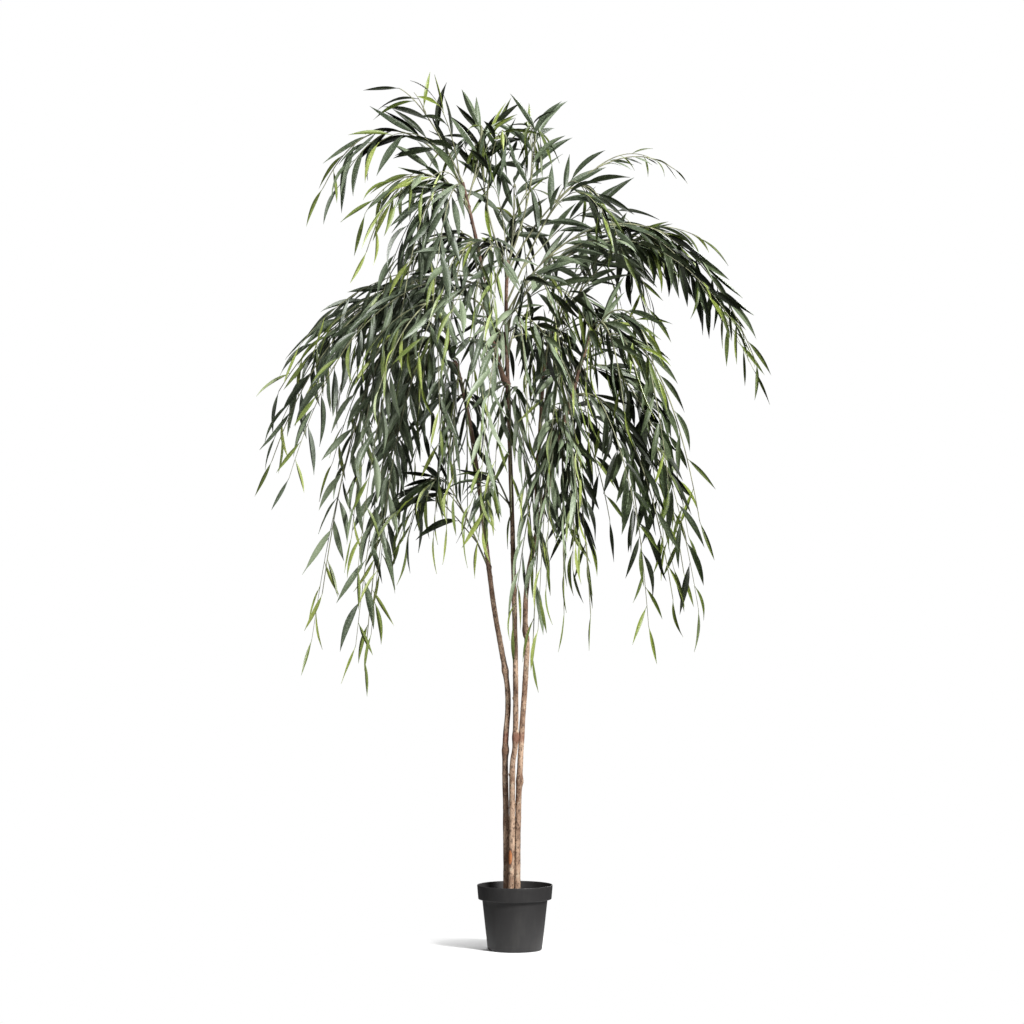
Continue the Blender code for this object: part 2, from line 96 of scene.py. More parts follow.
# %% Stock for shader maths
class Wire:
    """A shader socket that takes part in Python arithmetic"""

    def __init__(self, finish, socket):
        self.finish = finish
        self.socket = socket

    def maths(self, operation, first, second):
        return self.finish.add("Math", {"operation": operation}, {0: first, 1: second})

    def __add__(self, other):
        return self.maths("ADD", self, other)

    def __radd__(self, other):
        return self.maths("ADD", other, self)

    def __sub__(self, other):
        return self.maths("SUBTRACT", self, other)

    def __rsub__(self, other):
        return self.maths("SUBTRACT", other, self)

    def __mul__(self, other):
        return self.maths("MULTIPLY", self, other)

    def __rmul__(self, other):
        return self.maths("MULTIPLY", other, self)


class Finish:
    """A node tree being wired: add() makes any node, plug() sets or links any socket"""

    def __init__(self, tree):
        self.tree = tree

    def plug(self, value, socket):
        if isinstance(value, Wire):
            self.tree.links.new(value.socket, socket)
        else:
            socket.default_value = value

    def add(self, kind, settings=None, sockets=None, output=0):
        """A node of this kind: its settings first, then its sockets' values or links"""
        node = self.tree.nodes.new("ShaderNode" + kind)
        for name, value in (settings or {}).items():
            setattr(node, name, value)
        for name, value in (sockets or {}).items():
            self.plug(value, node.inputs[name])
        return Wire(self, node.outputs[output]) if node.outputs else None


def srgb(red, green, blue):
    """A colour as a picture editor gives it, 0 to 255, in the shader's linear values"""
    def linear(value):
        value = value / 255.0
        return value / 12.92 if value <= 0.04045 else ((value + 0.055) / 1.055) ** 2.4
    return (linear(red), linear(green), linear(blue))


print("shader stock ready")

# %% Surroundings
WHITE = (1.0, 1.0, 1.0, 1.0)
ROOM_LIGHT = 0.135

world = bpy.data.worlds.new("studio")
bpy.context.scene.world = world
world.use_nodes = True
world.node_tree.nodes.clear()
room = Finish(world.node_tree)
seen = room.add("LightPath", output=0)
shown = room.add("Background", sockets={"Color": WHITE, "Strength": 1.0})
lighting = room.add("Background", sockets={"Color": WHITE, "Strength": ROOM_LIGHT})
mixed = room.add("MixShader", sockets={0: seen, 1: lighting, 2: shown})
room.add("OutputWorld", sockets={"Surface": mixed})
print("room light", ROOM_LIGHT)

# %% Floor
FLOOR_RADIUS = 12.0
FLOOR_DROP = 0.0005
FLOOR_SHADE = (0.86, 0.86, 0.86, 1.0)
FLOOR_FADE = (0.08, 0.34)

bpy.ops.mesh.primitive_circle_add(vertices=96, radius=FLOOR_RADIUS, fill_type="NGON")
floor = bpy.context.object
floor.name = "floor"
floor.location = (0.0, 0.0, -FLOOR_DROP)
pale = bpy.data.materials.new("pale_floor")
pale.use_nodes = True
pale.node_tree.nodes.clear()
paint = Finish(pale.node_tree)
place = paint.add("TexCoord", output=3)
reach = paint.add("VectorMath", {"operation": "LENGTH"}, {0: place}, output=1)
fade = paint.add("MapRange", {"interpolation_type": "SMOOTHSTEP"}, {
    "Value": reach, "From Min": FLOOR_FADE[0], "From Max": FLOOR_FADE[1]})
matt = paint.add("BsdfDiffuse", sockets={"Color": FLOOR_SHADE})
bright = paint.add("LightPath", output=0)
strength = bright * (1.0 - ROOM_LIGHT) + ROOM_LIGHT
lit = paint.add("Emission", sockets={"Color": WHITE, "Strength": strength})
paint.add("OutputMaterial", sockets={
    "Surface": paint.add("MixShader", sockets={0: fade, 1: matt, 2: lit})})
floor.data.materials.append(pale)
print("floor turns white between", FLOOR_FADE, "m from the pot's axis")

# %% Soft boxes
SoftBox = namedtuple("SoftBox", "name place aim width height power")

SOFT_BOXES = (
    SoftBox("key_right", (2.6, -3.2, 3.4), (0.0, 0.0, 1.1), 1.1, 1.5, 550.0),
    SoftBox("fill_left", (-3.4, -3.6, 1.8), (0.0, 0.0, 0.9), 2.0, 2.4, 50.0),
    SoftBox("top", (0.4, 0.6, 4.4), (0.0, 0.0, 1.0), 2.2, 2.2, 90.0),
    SoftBox("rim_back", (1.8, 3.6, 2.6), (0.0, 0.0, 1.2), 1.6, 2.0, 100.0),
)

for box in SOFT_BOXES:
    lamp = bpy.data.lights.new(box.name, "AREA")
    lamp.shape = "RECTANGLE"
    lamp.size = box.width
    lamp.size_y = box.height
    lamp.energy = box.power
    holder = bpy.data.objects.new(box.name, lamp)
    bpy.context.scene.collection.objects.link(holder)
    holder.location = box.place
    beam = Vector(box.aim) - Vector(box.place)
    holder.rotation_euler = beam.to_track_quat("-Z", "Y").to_euler()
    holder.visible_camera = False

bpy.context.scene.view_settings.view_transform = "Standard"
print(len(SOFT_BOXES), "soft boxes")

# %% [markdown]
# ## Finishes
#
# Each finish is one Principled shader. A noise gives a surface its uneven colour,
# a finer one its grain through a Bump node. Both are read in the object's own
# space, in metres, so a scale of 400 means grains of about two and a half
# millimetres, and the pattern stays on the piece wherever it is seen from.

# %% A blank finish
def new_finish(name, roughness, gloss=0.5):
    """A Principled material and its shader: numbers that stay the same all over go on the shader"""
    material = bpy.data.materials.new(name)
    material.use_nodes = True
    shader = material.node_tree.nodes["Principled BSDF"]
    shader.inputs["Roughness"].default_value = roughness
    shader.inputs["Specular IOR Level"].default_value = gloss
    return material, Finish(material.node_tree), shader


def mottle(finish, scale, detail=3.0, roughness=0.55, stretch=None):
    """A noise between 0 and 1 in the object's own space, drawn out along an axis if asked"""
    place = finish.add("TexCoord", output=3)
    if stretch:
        place = finish.add("VectorMath", {"operation": "MULTIPLY"}, {0: place, 1: stretch})
    return finish.add("TexNoise", sockets={
        "Vector": place, "Scale": scale, "Detail": detail, "Roughness": roughness})


def blend(finish, factor, first, second):
    """A mix of two colours, each a plain one or a wire"""
    shades = [shade if isinstance(shade, Wire) else (*shade, 1.0) for shade in (first, second)]
    return finish.add("Mix", {"data_type": "RGBA"}, {0: factor, 6: shades[0], 7: shades[1]}, output=2)


def spread(finish, value, low, high):
    """A value's stretch between low and high, drawn out to run from 0 to 1"""
    return finish.add("MapRange", sockets={"Value": value, "From Min": low, "From Max": high})


def raise_grain(finish, shader, height, distance, strength=1.0):
    """Relief too fine for the mesh"""
    bump = finish.add("Bump", sockets={"Strength": strength, "Distance": distance, "Height": height})
    finish.plug(bump, shader.inputs["Normal"])


print("finish helpers ready")

# %% Moulded plastic and cement
pot_plastic, finish, shader = new_finish("moulded_plastic", 0.5, gloss=0.35)
cloud = mottle(finish, 14.0)
dust = spread(finish, mottle(finish, 60.0, 5.0, stretch=(1.0, 1.0, 0.25)), 0.5, 0.8)
shade = blend(finish, cloud, srgb(34, 33, 33), srgb(41, 40, 40))
finish.plug(blend(finish, dust * 0.35, shade, srgb(62, 61, 58)), shader.inputs["Base Color"])
finish.plug(0.42 + 0.2 * cloud, shader.inputs["Roughness"])
raise_grain(finish, shader, mottle(finish, 1400.0, 2.0), 0.00008, 0.6)

cement, finish, shader = new_finish("dark_cement", 0.95)
lumps = mottle(finish, 45.0, 6.0, 0.7)
grit = spread(finish, mottle(finish, 420.0, 2.0), 0.56, 0.7)
shade = blend(finish, lumps, srgb(46, 43, 40), srgb(96, 90, 83))
finish.plug(blend(finish, grit * 0.6, shade, srgb(140, 132, 122)), shader.inputs["Base Color"])
raise_grain(finish, shader, lumps + 0.3 * grit, 0.002)
print("pot finishes ready")

# %% [markdown]
# The stems are dead wood with the bark left on. Low down it is a dry grey beige with
# darker flecks, and higher up, under the crown, it is darker and red brown. On the
# middle stem, near the pot, a strip of bark has come away and shows the orange wood.
# Where that is, and the change of colour up the stem, are worked out from the place of
# a point in the model. So is the redder bark at the height where two of the stems have
# their big knots.

# %% Bark, bare wood and twig covering
SCAR = Vector((-0.0105, -0.0125, 0.190))
KNOT_HEIGHT = 0.435

bark, finish, shader = new_finish("dry_bark", 0.8)
fibre = mottle(finish, 130.0, 5.0, 0.65, stretch=(1.0, 1.0, 0.18))
patch = mottle(finish, 42.0, 5.0, 0.65, stretch=(1.0, 1.0, 0.5))
fleck = spread(finish, mottle(finish, 260.0, 3.0, 0.6, stretch=(1.0, 1.0, 0.7)), 0.55, 0.63)
lichen = spread(finish, mottle(finish, 95.0, 4.0, 0.7, stretch=(1.0, 1.0, 0.6)), 0.55, 0.68)
place = finish.add("TexCoord", output=3)
height = finish.add("SeparateXYZ", sockets={0: place}, output=2)
# Darker and redder higher up the stems
upper = spread(finish, height + 0.35 * patch, 0.75, 1.45)
low_shade = blend(finish, spread(finish, patch, 0.38, 0.62), srgb(116, 87, 67), srgb(190, 161, 136))
high_shade = blend(finish, spread(finish, patch, 0.38, 0.62), srgb(72, 49, 38), srgb(100, 73, 57))
shade = blend(finish, upper, low_shade, high_shade)
shade = blend(finish, lichen * (0.6 - 0.35 * upper), shade, srgb(200, 186, 162))
shade = blend(finish, spread(finish, fibre, 0.45, 0.7) * 0.55, shade, srgb(84, 62, 48))
shade = blend(finish, fleck * 0.75, shade, srgb(52, 36, 28))
off_knot = (height - KNOT_HEIGHT) * 70.0
knot_red = 1.0 - spread(finish, off_knot * off_knot + 0.5 * patch, 0.3, 1.1)
shade = blend(finish, knot_red * 0.7, shade, srgb(104, 56, 40))
away = finish.add("VectorMath", {"operation": "SUBTRACT"}, {0: place, 1: tuple(SCAR)})
away = finish.add("VectorMath", {"operation": "MULTIPLY"}, {0: away, 1: (190.0, 130.0, 56.0)})
scar_reach = finish.add("VectorMath", {"operation": "LENGTH"}, {0: away}, output=1)
ragged = scar_reach + 0.5 * fibre
edge = 1.0 - spread(finish, ragged, 1.25, 1.45)
bare = 1.0 - spread(finish, ragged, 1.0, 1.12)
shade = blend(finish, edge * 0.8, shade, srgb(84, 56, 42))
shade = blend(finish, bare, shade, blend(finish, fibre, srgb(196, 128, 78), srgb(150, 86, 50)))
finish.plug(shade, shader.inputs["Base Color"])
finish.plug(0.7 + 0.25 * fibre, shader.inputs["Roughness"])
raise_grain(finish, shader, fibre + 0.5 * patch + 0.4 * fleck, 0.0012)

twig_skin, finish, shader = new_finish("twig_covering", 0.6)
tone = mottle(finish, 60.0, 3.0)
finish.plug(blend(finish, spread(finish, tone, 0.35, 0.65), srgb(74, 74, 52), srgb(128, 130, 98)),
            shader.inputs["Base Color"])
raise_grain(finish, shader, mottle(finish, 700.0, 2.0), 0.0002)
print("wood and twig finishes ready")

# %% [markdown]
# Leaves of this kind are punched from printed polyester cloth and pressed in a hot
# mould. The print is darkest on the upper face, the back shows the pale cloth, and the
# young leaves at the twigs' ends are olive or lime. Whole sprays lean to one shade, so
# each shade is its own pair of finishes, upper and back, dealt out by spray. The pale
# sage shade is partly a paler print and partly a painted satin sheen. On the sprays at
# the crown's left, away from the key light, the deep print is partly painted shade. The
# noise adds the print's soft patches and pale flecks, which are partly the cloth's own
# and partly painted glints of its sheen.

# %% Leaf finishes
CLOTH_ROUGHNESS = 0.42
FLECK_AND_GLINT_SHARE = 0.6


def leaf_cloth(name, dark, light, fleck, gloss=0.4):
    """Printed cloth: soft patches from dark to light, pale flecks that are partly print and partly
    painted glints, and a fine weave
    """
    material, finish, shader = new_finish(name, CLOTH_ROUGHNESS, gloss)
    print_patch = spread(finish, mottle(finish, 14.0, 3.0), 0.35, 0.65)
    # Pale flecks: partly the cloth's own print, partly painted glints of its satin sheen
    pale_fleck_and_glint = spread(finish, mottle(finish, 420.0, 3.0, 0.65), 0.50, 0.64)
    shade = blend(finish, print_patch, dark, light)
    finish.plug(blend(finish, pale_fleck_and_glint * FLECK_AND_GLINT_SHARE, shade, fleck), shader.inputs["Base Color"])
    finish.plug(CLOTH_ROUGHNESS - 0.06 + 0.12 * print_patch, shader.inputs["Roughness"])
    raise_grain(finish, shader, mottle(finish, 1500.0, 2.0), 0.00025, 0.7)
    return material


LEAF_CLOTH = {
    "deep": (
        leaf_cloth("deep_leaf_face", srgb(8, 12, 4), srgb(17, 24, 8), srgb(56, 66, 40), 0.3),
        leaf_cloth("deep_leaf_back", srgb(40, 50, 33), srgb(64, 75, 56), srgb(114, 124, 102))),
    "green": (
        leaf_cloth("green_leaf_face", srgb(13, 20, 6), srgb(26, 37, 14), srgb(74, 87, 52), 0.32),
        leaf_cloth("green_leaf_back", srgb(60, 72, 50), srgb(88, 100, 76), srgb(138, 147, 122))),
    # Sage: partly a paler print, partly a painted satin sheen
    "sage": (
        leaf_cloth("sage_leaf_face", srgb(38, 49, 28), srgb(64, 76, 48), srgb(110, 120, 90)),
        leaf_cloth("sage_leaf_back", srgb(94, 107, 82), srgb(118, 130, 102), srgb(146, 155, 130))),
    "olive": (
        leaf_cloth("olive_leaf_face", srgb(40, 51, 15), srgb(64, 78, 26), srgb(118, 131, 62)),
        leaf_cloth("olive_leaf_back", srgb(76, 90, 38), srgb(98, 112, 52), srgb(144, 154, 92))),
    "lime": (
        leaf_cloth("lime_leaf_face", srgb(76, 91, 30), srgb(104, 118, 44), srgb(156, 166, 88)),
        leaf_cloth("lime_leaf_back", srgb(100, 114, 48), srgb(128, 139, 68), srgb(172, 180, 112))),
}
print("leaf finishes", ", ".join(LEAF_CLOTH))

# %% [markdown]
# ## One way to make every skin
#
# Pot, stem, twig and leaf are all the same thing to a modeller: a stack of rings
# joined into a closed skin. A leaf is a very flat one. So one helper takes an array
# of stacks of rings and returns a single joined mesh, which is also how a thousand
# leaves stay light: they are one object, not a thousand.

# %% Skin helper
triangle_count = {}


def skin(name, stacks, finishes, column_finish=None, sharp_over=60.0):
    """One mesh from stacks of rings: an array of (stacks, rings, points, xyz), ends closed"""
    count, rings, points = stacks.shape[:3]
    grid = np.arange(count * rings * points).reshape(count, rings, points)
    low = grid[:, :-1]
    high = grid[:, 1:]
    corners = [low, np.roll(low, -1, axis=2), np.roll(high, -1, axis=2), high]
    walls = np.stack(corners, axis=-1).reshape(-1, 4)
    ends = np.concatenate([grid[:, 0, ::-1], grid[:, -1]])
    mesh = bpy.data.meshes.new(name)
    mesh.from_pydata(stacks.reshape(-1, 3).tolist(), [], walls.tolist() + ends.tolist())
    for material in finishes:
        mesh.materials.append(material)
    if column_finish:
        faces = np.tile(np.array(column_finish, dtype=np.int32), count * (rings - 1))
        faces = np.concatenate([faces, np.zeros(len(ends), dtype=np.int32)])
        mesh.polygons.foreach_set("material_index", faces)
    mesh.shade_smooth()
    mesh.set_sharp_from_angle(angle=math.radians(sharp_over))
    piece = bpy.data.objects.new(name, mesh)
    bpy.context.scene.collection.objects.link(piece)
    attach(piece, "root")
    triangle_count[name] = 2 * len(walls) + len(ends) * (points - 2)
    print(name, triangle_count[name], "triangles")
    return piece


def turned(profile, points):
    """A stack of rings round the Z axis from (radius, height) pairs"""
    turn = np.linspace(0.0, 2 * math.pi, points, endpoint=False)
    radius = np.array([pair[0] for pair in profile])[:, None]
    height = np.array([pair[1] for pair in profile])[:, None]
    return np.stack([radius * np.cos(turn), radius * np.sin(turn), height + 0 * turn], axis=-1)[None]


# %% [markdown]
# ## Pot
#
# A nursery pot is thin moulded plastic: a tapering cup whose top is folded out
# into a straight band, so that pots stack. The profile below walks from the middle of
# the underside, up the outside and down the inside. Every edge is a short arc, since a
# mould has no sharp corners, and the underside stands on a low ring.

# %% Pot
POT_HEIGHT = 0.133
RIM_RADIUS = 0.0775
BAND_HEIGHT = 0.029
BAND_TAPER = 0.00225
BAND_STEP = 0.0083
BASE_RADIUS = 0.056
WALL = 0.002
band_foot = POT_HEIGHT - BAND_HEIGHT
band_foot_radius = RIM_RADIUS - BAND_TAPER
body_top_radius = band_foot_radius - BAND_STEP


def body_radius(height):
    return BASE_RADIUS + (body_top_radius - BASE_RADIUS) * height / band_foot


def arc(centre, size, start, end, steps=6):
    """Points on an arc of a profile, in degrees from the outward direction"""
    turns = [math.radians(start + (end - start) * step / steps) for step in range(steps + 1)]
    return [(centre[0] + size * math.cos(turn), centre[1] + size * math.sin(turn)) for turn in turns]


def straight(start, end, steps):
    """Evenly spaced points between two points of a profile, ends left out"""
    shares = [step / steps for step in range(1, steps)]
    return [(start[0] + (end[0] - start[0]) * t, start[1] + (end[1] - start[1]) * t) for t in shares]


outside = [(0.0008, 0.0015), (0.040, 0.0015), (0.0425, 0.0012), (0.0445, 0.0)]
outside += arc((BASE_RADIUS - 0.003, 0.003), 0.003, -90, -8)
outside += straight((BASE_RADIUS, 0.003), (body_top_radius, band_foot - 0.002), 14)
outside += [(body_top_radius, band_foot - 0.0018), (body_top_radius + 0.0006, band_foot - 0.0006)]
outside += [(body_top_radius + 0.002, band_foot + 0.0002)]
outside += arc((band_foot_radius - 0.0012, band_foot + 0.0012), 0.0012, -90, -4)
outside += straight((band_foot_radius, band_foot + 0.0013), (RIM_RADIUS, POT_HEIGHT - 0.002), 6)
rim = arc((RIM_RADIUS - 0.001, POT_HEIGHT - 0.001), 0.001, 0, 180, 8)
inside = straight((RIM_RADIUS - WALL, POT_HEIGHT - 0.001),
                  (band_foot_radius - WALL, band_foot + 0.004), 6)
inside += arc((band_foot_radius - WALL - 0.0015, band_foot + 0.0035), 0.0015, 0, -90)
inside += [(body_top_radius - WALL + 0.0005, band_foot + 0.002), (body_top_radius - WALL, band_foot)]
floor_radius = body_radius(0.003) - WALL
inside += [(floor_radius, 0.0045), (floor_radius - 0.002, 0.0035), (0.0008, 0.0035)]
pot = skin("nursery_pot", turned(outside + rim + inside, 128), [pot_plastic], sharp_over=50.0)
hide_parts("pot")
print("pot rim", 2000 * RIM_RADIUS, "mm across")

# %% [markdown]
# The stems stand in cement that was poured in wet. Its skin is a little lumpy, and it
# creeps up round each stem. Only the rings of the top need to be close together.

# %% Cement
FILL_TOP = 0.102
fill_radius = body_radius(FILL_TOP) - WALL - 0.0004
creep_places = ((-0.0178, 0.010), (-0.0088, -0.006), (0.0047, 0.004))

profile = [(0.0008, 0.0044), (body_radius(0.004) - WALL - 0.0025, 0.0044), (fill_radius, FILL_TOP)]
profile += [(fill_radius * (1.0 - step / 40), FILL_TOP) for step in range(1, 40)] + [(0.0006, FILL_TOP)]
stack = turned(profile, 96)
for ring in stack[0][3:]:
    for point in ring:
        lump = noise.noise(Vector(point) * 60.0) + 0.5 * noise.noise(Vector(point) * 190.0)
        near = min(math.hypot(point[0] - x, point[1] - y) for x, y in creep_places)
        edge = 1.0 - (math.hypot(point[0], point[1]) / fill_radius) ** 8
        point[2] += edge * (0.0012 * lump + 0.003 * math.exp(-(max(0.0, near - 0.007) / 0.004) ** 2))
fill = skin("cement_fill", stack, [cement])
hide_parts("pot_fill")

# %% [markdown]
# ## Stems and boughs
#
# Each stem is a sapling, cut and dried: one tapering limb that leans a little, with a
# swelling where a side shoot once grew. The centre lines are the same few points that
# shape the solids. Relief comes in layers, from large to small: knots, ring scars left
# by each year's bud, stubs of side shoots, lumps, and the bark's long fibres.

# %% Limb table
Limb = namedtuple("Limb", "name grows_from foot tip knots line")
STEM_FOOT = 0.040
LIMBS = (
    Limb("stem_left", None, 0.0068, 0.0038, (0.407, 0.571), (
        (-0.017, 0.010, STEM_FOOT), (-0.018, 0.010, 0.250), (-0.020, 0.011, 0.407),
        (-0.014, 0.013, 0.500), (-0.020, 0.016, 0.571), (-0.045, 0.024, 0.716),
        (-0.080, 0.042, 0.997), (-0.106, 0.050, 1.143), (-0.150, 0.060, 1.300))),
    Limb("stem_middle", None, 0.0066, 0.0036, (0.435, 1.157), (
        (-0.0095, -0.006, STEM_FOOT), (-0.006, -0.006, 0.251), (-0.005, -0.006, 0.376),
        (0.001, -0.006, 0.430), (0.001, -0.004, 0.591), (-0.004, -0.002, 0.827),
        (-0.013, 0.0, 1.108), (-0.018, 0.0, 1.303), (-0.015, 0.0, 1.414))),
    Limb("stem_right", None, 0.0068, 0.0038, (0.345, 0.655), (
        (0.004, 0.004, STEM_FOOT), (0.006, 0.004, 0.250), (0.012, 0.0, 0.408),
        (0.025, -0.004, 0.616), (0.021, -0.004, 0.655), (0.026, -0.006, 0.760),
        (0.054, -0.014, 0.895), (0.087, -0.026, 1.032), (0.118, -0.034, 1.139),
        (0.154, -0.042, 1.270))),
    Limb("bough_top_left", "stem_middle", 0.0050, 0.0032, (), (
        (-0.0145, 0.0, 1.157), (-0.025, -0.012, 1.175), (-0.048, -0.030, 1.264),
        (-0.075, -0.050, 1.432), (-0.106, -0.062, 1.567))),
    Limb("bough_right_inner", "stem_right", 0.0048, 0.0032, (), (
        (0.045, -0.011, 0.860), (0.046, 0.014, 0.962), (0.057, 0.055, 1.147),
        (0.062, 0.066, 1.199), (0.084, 0.088, 1.286))),
)


def smooth_path(points, spacing):
    """A smooth curve through the points, read off about every spacing"""
    points = [Vector(p) for p in points]
    line = [2 * points[0] - points[1]] + points + [2 * points[-1] - points[-2]]
    path = []
    for before, start, end, after in zip(line, line[1:], line[2:], line[3:]):
        steps = max(1, round((end - start).length / spacing))
        for step in range(steps):
            t = step / steps
            path.append(0.5 * (2 * start + (end - before) * t
                               + (2 * before - 5 * start + 4 * end - after) * t * t
                               + (3 * start - before - 3 * end + after) * t ** 3))
    path.append(points[-1])
    return path


def at_height(path, height):
    """The point of a rising path at a height"""
    for low, high in zip(path, path[1:]):
        if height <= high.z:
            return low.lerp(high, (height - low.z) / (high.z - low.z))
    return path[-1].copy()


print(len(LIMBS), "limbs")

# %% Ring helpers
def evenly(path, count):
    """A path read again at evenly spaced points"""
    path = np.array([tuple(point) for point in path])
    along = np.concatenate([[0.0], np.cumsum(np.linalg.norm(np.diff(path, axis=0), axis=1))])
    wanted = np.linspace(0.0, along[-1], count)
    return np.stack([np.interp(wanted, along, path[:, axis]) for axis in range(3)], axis=-1)


def carried_frames(path):
    """Two directions across a path at each point, carried along it without twisting"""
    forward = np.gradient(path, axis=0)
    forward /= np.linalg.norm(forward, axis=1)[:, None]
    across = np.zeros_like(path)
    first = np.array((1.0, 0.0, 0.0)) if abs(forward[0][0]) < 0.8 else np.array((0.0, 1.0, 0.0))
    for step, ahead in enumerate(forward):
        first = first - ahead * first.dot(ahead)
        first /= np.linalg.norm(first)
        across[step] = first
    return across, np.cross(forward, across)


def rings_round(path, radii, points):
    """Rings of a tube along a path: (rings, points, xyz)"""
    across, over = carried_frames(path)
    turn = np.linspace(0.0, 2 * math.pi, points, endpoint=False)[None, :, None]
    round_it = across[:, None] * np.cos(turn) + over[:, None] * np.sin(turn)
    radii = np.asarray(radii)
    radii = radii[:, :, None] if radii.ndim == 2 else radii[:, None, None]
    return path[:, None] + radii * round_it


print("ring helpers ready")

# %% Barked limbs
LIMB_POINTS = 36
RING_STEP = 0.0028
KNOT_HALF_LENGTH = 0.010
FORK_HALF_LENGTH = 0.016


def bark_relief(limb, path, rng):
    """The radius of a limb at every point of every ring"""
    turn = np.linspace(0.0, 2 * math.pi, LIMB_POINTS, endpoint=False)[None, :]
    height = path[:, 2][:, None]
    foot, tip = path[0][2], path[-1][2]
    radius = limb.foot + (limb.tip - limb.foot) * (height - foot) / (tip - foot) + 0 * turn
    for knot in limb.knots:
        facing = rng.uniform(0.0, 2 * math.pi)
        swell = np.exp(-((height - knot) / KNOT_HALF_LENGTH) ** 2)
        swell = swell * (0.32 + 0.16 * np.cos(turn - facing))
        radius *= 1.0 + swell
    if limb.grows_from:
        radius *= 1.0 + 0.55 * np.exp(-((height - foot) / FORK_HALF_LENGTH) ** 2)
    scar_height = foot + 0.03
    while scar_height < tip:
        width = rng.uniform(0.0009, 0.0016)
        radius += rng.uniform(0.0002, 0.0005) * np.exp(-((height - scar_height) / width) ** 2)
        scar_height += rng.uniform(0.022, 0.075)
    for stub in range(round((tip - foot) / 0.085)):
        rise, facing = rng.uniform(foot, tip), rng.uniform(0.0, 2 * math.pi)
        sideways = (np.mod(turn - facing + math.pi, 2 * math.pi) - math.pi) * limb.foot
        distance = ((height - rise) / 0.0026) ** 2 + (sideways / 0.0022) ** 2
        radius += rng.uniform(0.0008, 0.0024) * np.exp(-distance ** 1.5)
    return radius


limb_paths = {limb.name: smooth_path(limb.line, 0.060) for limb in LIMBS}
for number, limb in enumerate(LIMBS):
    fine = smooth_path(limb.line, 0.012)
    length = sum((end - start).length for start, end in zip(fine, fine[1:]))
    path = evenly(fine, round(length / RING_STEP))
    stack = rings_round(path, bark_relief(limb, path, random.Random(number)), LIMB_POINTS)
    for ring, centre in zip(stack, path):
        for point in ring:
            lumps = noise.noise(Vector((point[0] * 60, point[1] * 60, point[2] * 28)))
            fibres = noise.noise(Vector((point[0] * 420, point[1] * 420, point[2] * 45)))
            outward = point - centre
            outward /= np.linalg.norm(outward)
            point += outward * (0.0005 * lumps + 0.00028 * fibres)
    piece = skin(limb.name + "_bark", stack[None], [bark], sharp_over=80.0)
    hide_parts(limb.name)

# %% [markdown]
# ## Sprays
#
# The crown is bought by the spray. Each one is a wire-cored main twig with side twigs
# and leaves, pushed into a hole in the wood. It climbs at a slant, arches over and
# hangs. So a spray needs only where it is plugged in, where it heads, and how far it
# climbs, reaches and falls. The same rule that shapes the solids is written again here
# and carried further, to every side twig and to leaves of their real size.

